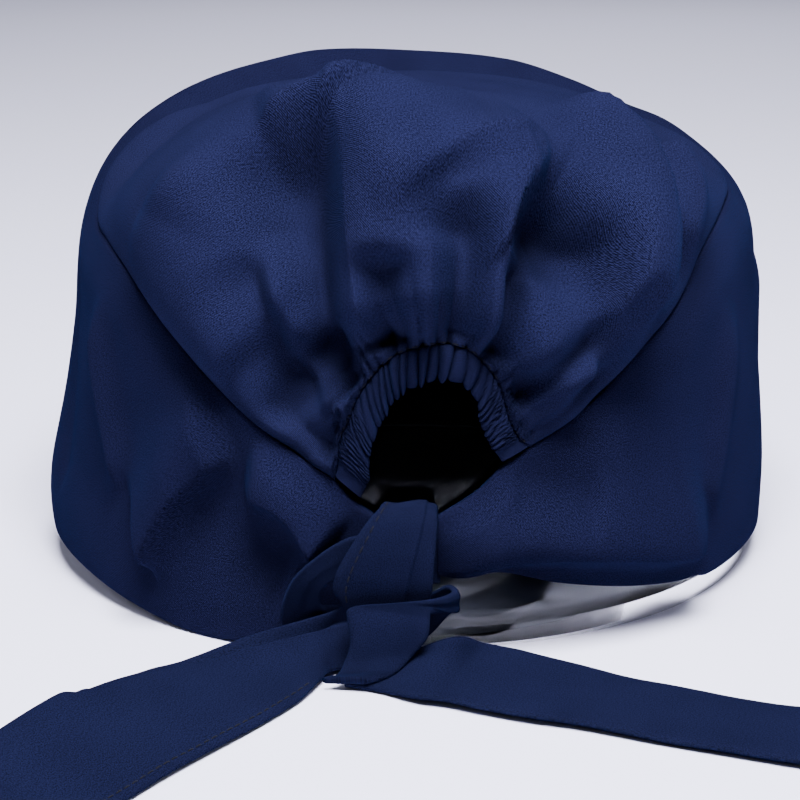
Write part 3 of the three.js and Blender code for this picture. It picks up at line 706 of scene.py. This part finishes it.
# Side band
# A tall strip of the same twill, two layers, sewn to the crown along a turned seam. Its top stands up
# stiffly round the front. Its hem touches the table there, lifts a little at both sides and rises to the
# knot at the back, where both ends of the band are tucked in behind the straps.
band_wall = 2
band_roll = 15
collar_out = 5
collar_reach = 10
foot_lift = 0.4
tie_width = 36
strap_left = 0.32
strap_right = 0.18
end_tuck = 0.8
band_start = math.degrees(math.asin((strap_right * tie_width - end_tuck) / cap_radius))
band_end = 360 - math.degrees(math.asin((strap_left * tie_width - end_tuck) / cap_radius))
band_top_right = (
    (band_start, 0.822),
    (9, 0.792),
    (12.8, 0.764),
    (17, 0.742),
)
band_top_left = (
    (348, 0.779),
    (350.5, 0.802),
    (band_end, 0.822),
)
band_hem = (
    (band_start, 0.898),
    (13, 0.904),
    (22, 0.926),
    (38, 0.954),
    (50, 0.966),
    (70, 0.963),
    (92, 0.97),
    (120, 1.0),
    (235, 1.0),
    (262, 0.974),
    (284, 0.962),
    (300, 0.968),
    (314, 0.983),
    (328, 0.998),
    (337, 0.99),
    (346, 0.965),
    (band_end, 0.935),
)


def band_top(azimuth):
    """The band's upper edge: along the crown's seam, and past its ends down to the knot."""
    top = read_table(seam_table, 1, azimuth)
    top = np.where(azimuth < seam_start, read_table(band_top_right, 1, azimuth), top)
    return np.where(azimuth > seam_end, read_table(band_top_left, 1, azimuth), top)


def band_lift(azimuth, down, top):
    """Lift of the band: creases, the stiff collar under its seam, and the seam's own sink."""
    from_seam = (down - top) * profile_length
    sink = seam_sink * read_table(seam_table, 2, azimuth) * (1 - smooth_step(from_seam / band_roll))
    bulge = smooth_step(from_seam / collar_reach) * np.exp(-((from_seam / collar_reach / 3.2)**2))
    collar = collar_out * read_table(seam_table, 3, azimuth) * bulge
    turned_in = edge_turn * np.exp(-((from_seam / edge_reach)**2))
    lift = fold_lift(azimuth, down) * smooth_step(from_seam / fold_fade) + collar - sink - turned_in
    return clear_of_drum(down, lift, band_wall)


def band_mesh():
    """Points, faces and cloth places: columns run down from the seam to the hem."""
    columns = 450
    far_rows = 90
    turn = np.linspace(-1, 1, columns)
    azimuth = (band_start + band_end) / 2 + (band_end - band_start) / 2 * (1.35 * turn - 0.35 * turn**3)
    top = band_top(azimuth) * profile_length + piece_gap / 2
    hem = read_table(band_hem, 1, azimuth) * profile_length - foot_lift
    rows = len(rim_rows) + far_rows
    from_top = np.empty((columns, rows))
    from_top[:, :len(rim_rows)] = rim_rows
    far = np.linspace(0, 1, far_rows + 1)[1:]
    from_top[:, len(rim_rows):] = rim_rows[-1] + ((hem - top)[:, None] - rim_rows[-1]) * far
    down = (top[:, None] + from_top) / profile_length
    angles = np.repeat(azimuth[:, None], rows, axis=1)
    lift = band_lift(angles, down, band_top(angles))
    grids = []
    for wall in (0.0, band_wall):
        grid = cap_point(angles, down, lift - wall)
        grid[..., 2] = np.maximum(grid[..., 2], foot_lift)
        grids.append(grid.reshape(-1, 3))
    cloth = np.stack((np.radians(angles) * cap_radius, down * profile_length), axis=-1).reshape(-1, 2)
    return np.vstack(grids), sheet_faces(columns, rows), np.vstack((cloth, cloth))


band_points, band_faces, band_cloth = band_mesh()
# The band's colours are darker than the crown's: painted shade for its upright sides, which the overhead
# light reaches less.
band_twill_painted_shade = navy_twill("navy_twill_band_painted_shade", (0.002, 0.0022, 0.0074), (0.0084, 0.0093, 0.0302))
band = make_piece("side_band_cloth", band_points, band_faces, band_twill_painted_shade, band_cloth)
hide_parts("side_band")

# Elastic channel
# A narrow tunnel of the crown's twill, sewn down along its outer edge, with an elastic inside that draws
# it into puckers round the arch of the back opening.
casing_thickness = 4.0
casing_width = 11
casing_gather = 1.7
casing_lean = 0.11
casing_sway = 0.009
casing_frill = 2.3
casing_draw = gather_height * 1.15
casing_under = 0.7
casing_sink = 0.1
casing_inner = (
    # azimuth, down: the free edge of the channel, round the opening
    (-8.2, 0.803),
    (-7, 0.777),
    (-6.9, 0.745),
    (-5.9, 0.719),
    (-4.7, 0.697),
    (-3.2, 0.675),
    (-0.9, 0.661),
    (2, 0.652),
    (5.1, 0.652),
    (7.4, 0.661),
    (9, 0.68),
    (9.6, 0.707),
    (10.3, 0.722),
    (11.3, 0.739),
    (12.8, 0.76),
)


def casing_mesh():
    """Points, faces and cloth places: rings round the tunnel, one after the other along the arch."""
    steps = 860
    sides = 20
    share = np.linspace(0.012, 0.988, steps + 1)
    free_edge = smooth_line(to_plan(*np.array(casing_inner, float).T), 241)
    lines = []
    for line in (arch_line, free_edge):
        lengths = np.concatenate(([0.0], np.cumsum(np.linalg.norm(np.diff(line, axis=0), axis=1))))
        drawn_out = [np.interp(share, lengths / lengths[-1], line[:, axis]) for axis in (0, 1)]
        lines.append(np.stack(drawn_out, axis=1))
    sewn, free = lines
    inward = free - sewn
    width = np.linalg.norm(inward, axis=1)
    ends = smooth_step((share - 0.04) * 25) * smooth_step((0.96 - share) * 25)
    points = []
    cloth = []
    for side in range(sides):
        angle = 2 * math.pi * (side + 0.5) / sides
        flat_across = 0.5 - 0.5 * math.copysign(abs(math.cos(angle))**0.8, math.cos(angle))
        height = math.copysign(abs(math.sin(angle))**0.8, math.sin(angle))
        lean = casing_lean * (0.5 - share) * math.sin(math.pi / 2 * flat_across)
        lean = lean + casing_sway * np.sin(share * 61 + 1.3) * flat_across
        pucker = gather_rounds(np.clip(share + lean, 0, 1)) * ends
        across = flat_across + casing_frill / width * pucker * flat_across**3
        azimuth, down = from_plan(sewn + inward * across[:, None])
        crest = 0.5 + 0.5 * height
        plump = casing_thickness / 2 * (0.6 + 0.4 * ends)
        section = height if height > 0 else height * casing_under
        lift = plump * (section - casing_sink) + casing_draw * pucker * (0.1 + 0.9 * crest)
        points.append(cap_point(azimuth, down, lift))
        gathered = share * arch_lengths[-1] * casing_gather
        cloth.append(np.stack((gathered, np.full(len(share), flat_across * casing_width)), axis=1))
    points = np.stack(points, axis=1).reshape(-1, 3)
    cloth = np.stack(cloth, axis=1).reshape(-1, 2)
    return points, tube_faces(steps + 1, sides), cloth


def tube_faces(rings, sides):
    """Faces of rings of points joined into a closed tube with flat ends."""
    faces = []
    for ring in range(rings - 1):
        for side in range(sides):
            here = ring * sides
            after = (side + 1) % sides
            faces.append((here + side, here + after, here + sides + after, here + sides + side))
    last = (rings - 1) * sides
    faces.append(tuple(reversed(range(sides))))
    faces.append(tuple(last + side for side in range(sides)))
    return faces


casing_points, casing_faces, casing_cloth = casing_mesh()
casing = make_piece("elastic_channel", casing_points, casing_faces, crown_twill, casing_cloth)
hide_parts("elastic_casing")

# Stitches
# Dashed lines of charcoal thread: along the channel's sewn edge, and two millimetres in along the edges of
# the ties.
thread_radius = 0.17
stitch_length = 2.1
stitch_pitch = 3.0


def stitch_line(path, square):
    """Stitches laid along a path of places; square points out of the cloth."""
    run = np.concatenate(([0.0], np.cumsum(np.linalg.norm(np.diff(path, axis=0), axis=1))))
    points = []
    faces = []
    rings = 6
    sides = 6
    for number in range(int(run[-1] / stitch_pitch)):
        length = stitch_length * random.uniform(0.85, 1.1)
        at = stitch_pitch * number + np.linspace(0, length, rings)
        middle = np.stack([np.interp(at, run, path[:, axis]) for axis in range(3)], axis=1)
        out = np.stack([np.interp(at, run, square[:, axis]) for axis in range(3)], axis=1)
        along = middle[-1] - middle[0]
        aside = np.cross(out, along)
        aside /= np.linalg.norm(aside, axis=1)[:, None]
        raised = thread_radius * (1.5 * np.sin(np.pi * np.linspace(0, 1, rings)) - 0.6)
        first = len(points)
        for ring in range(rings):
            for side in range(sides):
                angle = 2 * math.pi * side / sides
                offset = aside[ring] * math.cos(angle) + out[ring] * math.sin(angle)
                points.append(middle[ring] + out[ring] * raised[ring] + offset * thread_radius)
        faces += [tuple(first + corner for corner in face) for face in tube_faces(rings, sides)]
    return points, faces


def charcoal_thread():
    """Matte spun thread, nearly black."""
    finish, tree, shader = new_finish("charcoal_thread")
    shader.inputs["Base Color"].default_value = (0.006, 0.006, 0.008, 1)
    shader.inputs["Roughness"].default_value = 0.8
    shader.inputs["Specular IOR Level"].default_value = 0.1
    uneven = add_effect(tree, patches, Scale=900.0, Low=0.2, High=0.8)
    place = tree.nodes.new("ShaderNodeTexCoord")
    tree.links.new(place.outputs["Object"], uneven.inputs["Vector"])
    bump = tree.nodes.new("ShaderNodeBump")
    bump.inputs["Strength"].default_value = 0.5
    bump.inputs["Distance"].default_value = 0.0001
    tree.links.new(uneven.outputs["Mask"], bump.inputs["Height"])
    tree.links.new(bump.outputs["Normal"], shader.inputs["Normal"])
    return finish


thread = charcoal_thread()


def arch_stitches():
    """The path on the crown, close to the arch."""
    along = np.gradient(arch_line, axis=0)
    along /= np.linalg.norm(along, axis=1)[:, None]
    beside = arch_line - np.stack((along[:, 1], -along[:, 0]), axis=1) * 0.5
    azimuth, down = from_plan(beside[6:-6])
    lift = crown_lift(azimuth, down, np.full(len(azimuth), 0.5), np.ones(len(azimuth)))
    path = cap_point(azimuth, down, lift)
    return path, cap_point(azimuth, down, lift + 1) - path


stitch_points, stitch_faces = stitch_line(*arch_stitches())
make_piece("arch_stitches", stitch_points, stitch_faces, thread)

# Ties and knot
# Straps of folded twill, stitched close along their edges, sewn into the ends of the band and tied at
# the back in one overhand knot. Their free ends lie on the table.
tie_wall = 2.2
strap_ripple = 0.8
knot_place = np.array((0.0, -cap_radius, 0.0))
strap_tables = {
    # left and right edge of each section, in shares of the strap's width from the knot
    "tie_left": (
        ((-strap_left, 0.03, 0.56), (strap_right, 0.03, 0.56)),
        ((-strap_left, 0.03, 0.85), (strap_right, 0.03, 0.85)),
        ((-0.28, 0.0, 1.12), (0.16, 0.0, 1.12)),
        ((-0.26, -0.14, 1.22), (0.15, -0.14, 1.22)),
        ((-0.36, -0.27, 1.14), (0.15, -0.27, 1.13)),
        ((-0.48, -0.33, 0.96), (0.135, -0.33, 0.93)),
        ((-0.57, -0.34, 0.79), (0.12, -0.34, 0.74)),
        ((-0.61, -0.32, 0.64), (0.11, -0.33, 0.6)),
        ((-0.58, -0.29, 0.54), (0.04, -0.29, 0.22)),
        ((-0.55, -0.28, 0.5), (-0.25, -0.31, 0.06)),
        ((-0.62, -0.27, 0.45), (-0.61, -0.42, 0.04)),
        ((-0.86, -0.22, 0.36), (-0.7, -0.6, 0.035)),
        ((-1.25, -0.24, 0.25), (-0.78, -0.82, 0.035)),
        ((-1.69, -0.46, 0.18), (-0.88, -1.02, 0.035)),
        ((-1.94, -0.88, 0.28), (-1.14, -1.42, 0.035)),
        ((-2.4, -1.59, 0.39), (-1.65, -2.14, 0.035)),
        ((-2.86, -2.3, 0.33), (-2.11, -2.88, 0.035)),
        ((-3.47, -3.18, 0.12), (-2.67, -3.74, 0.035)),
    ),
    "knot_strap": (
        ((0.12, -0.08, 0.62), (0.12, -0.08, 1.0)),
        ((0.0, -0.11, 0.61), (0.0, -0.11, 0.98)),
        ((-0.28, -0.14, 0.66), (-0.28, -0.14, 1.0)),
        ((-0.48, -0.17, 0.68), (-0.5, -0.17, 0.98)),
        ((-0.6, -0.18, 0.65), (-0.74, -0.18, 0.83)),
        ((-0.68, -0.17, 0.58), (-0.93, -0.16, 0.62)),
        ((-0.7, -0.13, 0.45), (-1.0, -0.1, 0.31)),
        ((-0.6, -0.09, 0.43), (-0.85, -0.06, 0.12)),
        ((-0.25, -0.09, 0.44), (-0.3, -0.06, 0.06)),
        ((0.05, -0.1, 0.5), (0.05, -0.08, 0.15)),
        ((0.22, -0.2, 0.62), (0.24, -0.17, 0.38)),
        ((0.27, -0.32, 0.62), (0.28, -0.31, 0.45)),
        ((0.14, -0.41, 0.6), (0.19, -0.4, 0.49)),
        ((-0.15, -0.44, 0.58), (0.11, -0.47, 0.52)),
        ((-0.47, -0.45, 0.55), (0.097, -0.5, 0.48)),
        ((-0.5, -0.49, 0.45), (0.095, -0.52, 0.43)),
        ((-0.478, -0.53, 0.31), (0.075, -0.54, 0.34)),
        ((-0.52, -0.57, 0.18), (-0.02, -0.57, 0.23)),
        ((-0.58, -0.64, 0.1), (-0.16, -0.67, 0.13)),
        ((-0.68, -0.68, 0.08), (-0.36, -0.74, 0.1)),
    ),
    "tie_right": (
        ((-0.3, -0.46, 0.06), (-0.52, -0.66, 0.03)),
        ((0.0, -0.42, 0.2), (-0.28, -0.76, 0.035)),
        ((0.3, -0.32, 0.27), (0.0, -0.94, 0.035)),
        ((0.52, -0.14, 0.14), (0.2, -1.01, 0.035)),
        ((0.8, -0.12, 0.07), (0.42, -1.12, 0.035)),
        ((1.13, -0.33, 0.06), (0.75, -1.27, 0.035)),
        ((1.54, -0.58, 0.06), (1.16, -1.41, 0.035)),
        ((2.02, -0.84, 0.06), (1.66, -1.64, 0.035)),
        ((2.5, -1.06, 0.06), (2.16, -1.85, 0.035)),
        ((3.08, -1.21, 0.06), (2.72, -2.08, 0.035)),
        ((3.86, -1.5, 0.06), (3.5, -2.38, 0.035)),
    ),
}
strap_twill = navy_twill("navy_twill_straps", (0.0018, 0.0021, 0.0068), (0.0082, 0.0098, 0.0299))
strap_layers = (
    # node, its part along from and to, edge across at both, drop in millimetres, side that drops, rise
    ("tie_left", 0.1, 0.3, 0.82, 0.7, 1.3, 1, 0.0),
    ("tie_left", 0.1, 0.3, 0.06, 0.05, 0.9, -1, 0.0),
    ("tie_left", 0.29, 0.7, 0.3, 0.05, 3.6, -1, 0.9),
    ("tie_right", 0.05, 1.0, 0.93, 0.94, 0.7, 1, 0.0),
)
strap_stitches = (
    # node, place across, its part along from and to
    ("tie_left", 0.13, 0.12, 0.29),
    ("tie_left", 0.93, 0.4, 0.99),
    ("tie_right", 0.9, 0.1, 0.99),
)


def strap_surface(node, steps, across):
    """The middle surface of a strap and the direction square to it, as grids, with half its thickness."""
    table = strap_tables[node]
    edges = [smooth_line([row[edge] for row in table], steps) for edge in (0, 1)]
    left, right = (edge * tie_width + knot_place for edge in edges)
    share = np.linspace(0, 1, across)[None, :]
    middle = left[:, None] * (1 - share[..., None]) + right[:, None] * share[..., None]
    run = np.gradient(middle, axis=0)
    width = np.gradient(middle, axis=1)
    square = np.cross(run, width)
    square /= np.linalg.norm(square, axis=2)[..., None]
    centre = middle[:, across // 2]
    lengths = np.concatenate(([0.0], np.cumsum(np.linalg.norm(np.diff(centre, axis=0), axis=1))))
    along = (lengths / lengths[-1])[:, None]
    ripple = [[noise.noise(Vector((x * 0.05, y * 2.2, steps))) for y in share[0]] for x in lengths]
    offset = strap_ripple * np.array(ripple)
    for layer, start, end, edge_start, edge_end, drop, side, rise in strap_layers:
        if layer != node:
            continue
        part = (along - start) / (end - start)
        edge = edge_start + (edge_end - edge_start) * np.clip(part, 0, 1)
        taper = smooth_step(part * 8) * smooth_step((1 - part) * 8)
        beyond = (share - edge) * side
        offset = offset - drop * taper * (smooth_step(beyond / 0.025) - rise * np.clip(beyond / 0.3, 0, 1))
    middle = middle + square * offset[..., None]
    rounded = (1 - np.abs(2 * share - 1)**10)**0.5
    half = np.maximum(tie_wall / 2 * rounded, 0.2)
    return middle, square, half, lengths


def strap_mesh(node, steps, across):
    """Points, faces and cloth places of a strap, from its middle surface and half its thickness."""
    middle, square, half, lengths = strap_surface(node, steps, across)
    grids = []
    for side in (-1, 1):
        grid = middle + square * (side * half)[..., None]
        grid[..., 2] = np.maximum(grid[..., 2], 0.05)
        grids.append(grid.reshape(-1, 3))
    share = np.linspace(0, 1, across)
    cloth = np.stack(np.broadcast_arrays(lengths[:, None], share[None] * tie_width), axis=-1).reshape(-1, 2)
    return np.vstack(grids), sheet_faces(steps, across), np.vstack((cloth, cloth))


def strap_stitching(node, steps, across):
    """Stitches on the side of the strap that faces up and back."""
    middle, square, half, lengths = strap_surface(node, steps, across)
    points = []
    faces = []
    for stitched, place, start, end in strap_stitches:
        if stitched != node:
            continue
        column = round(place * (across - 1))
        rows = np.flatnonzero((lengths >= start * lengths[-1]) & (lengths <= end * lengths[-1]))
        outward = square[rows, column]
        line_points, line_faces = stitch_line(middle[rows, column] + outward * half[0, column], outward)
        faces += [tuple(len(points) + corner for corner in face) for face in line_faces]
        points += line_points
    return points, faces


strap_plans = (
    # piece, node, steps, points across, flat size, how it is held
    ("tie_left_strap", "tie_left", 360, 61, (0.21, 0.036), "folded"),
    ("knot_loop_strap", "knot_strap", 300, 41, (0.06, 0.036), "folded"),
    ("tie_right_strap", "tie_right", 240, 51, (0.16, 0.036), "laid"),
)
for piece_name, node, steps, across, flat, held in strap_plans:
    strap_points, strap_faces, strap_cloth = strap_mesh(node, steps, across)
    strap = make_piece(piece_name, strap_points, strap_faces, strap_twill, strap_cloth)
    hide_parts(node)
    stitch_points, stitch_faces = strap_stitching(node, steps, across)
    if stitch_points:
        make_piece(piece_name + "_stitches", stitch_points, stitch_faces, thread)

# Table and backdrop
# A pale, slightly bluish tabletop that runs on far behind the cap.
table_size = 6.0


def pale_table():
    """Plain matte tabletop."""
    finish, tree, shader = new_finish("pale_table")
    shader.inputs["Base Color"].default_value = (0.86, 0.84, 1.0, 1)
    shader.inputs["Roughness"].default_value = 0.9
    return finish


table_mesh = bpy.data.meshes.new("table")
half = table_size / 2
table_corners = [(-half, -half, 0), (half, -half, 0), (half, half, 0), (-half, half, 0)]
table_mesh.from_pydata(table_corners, [], [(0, 1, 2, 3)])
table_mesh.materials.append(pale_table())
table = bpy.data.objects.new("table", table_mesh)
bpy.context.scene.collection.objects.link(table)

# Light
# One soft studio light overhead, slightly towards the camera, which draws the folds, and weak wide ones
# from the left, the right and the far side that keep every side of the cap readable.
light_plans = (
    # name, place, aim, size, power
    ("overhead", (0.05, -0.4, 1.0), (0.0, 0.0, 0.08), 0.5, 54.0),
    ("left", (-1.0, -0.3, 0.9), (0.0, 0.0, 0.08), 0.6, 3.5),
    ("right", (1.0, -0.3, 0.9), (0.0, 0.0, 0.08), 0.6, 2.5),
    ("far", (0.1, 1.2, 0.6), (0.0, 0.0, 0.06), 0.8, 2.0),
)
for light_name, light_place, light_aim, light_size, light_power in light_plans:
    light_data = bpy.data.lights.new(light_name, "AREA")
    light_data.size = light_size
    light_data.energy = light_power
    light_data.color = (0.87, 0.89, 1.0)
    light = bpy.data.objects.new(light_name, light_data)
    light.location = Vector(light_place) + Vector((ring_x, ring_y, 0))
    aim = Vector(light_aim) - Vector(light_place)
    light.rotation_euler = aim.to_track_quat("-Z", "Y").to_euler()
    bpy.context.scene.collection.objects.link(light)
world = bpy.data.worlds.new("studio")
world.use_nodes = True
world.node_tree.nodes["Background"].inputs["Color"].default_value = (0.8, 0.86, 1.0, 1)
world.node_tree.nodes["Background"].inputs["Strength"].default_value = 0.1
bpy.context.scene.world = world
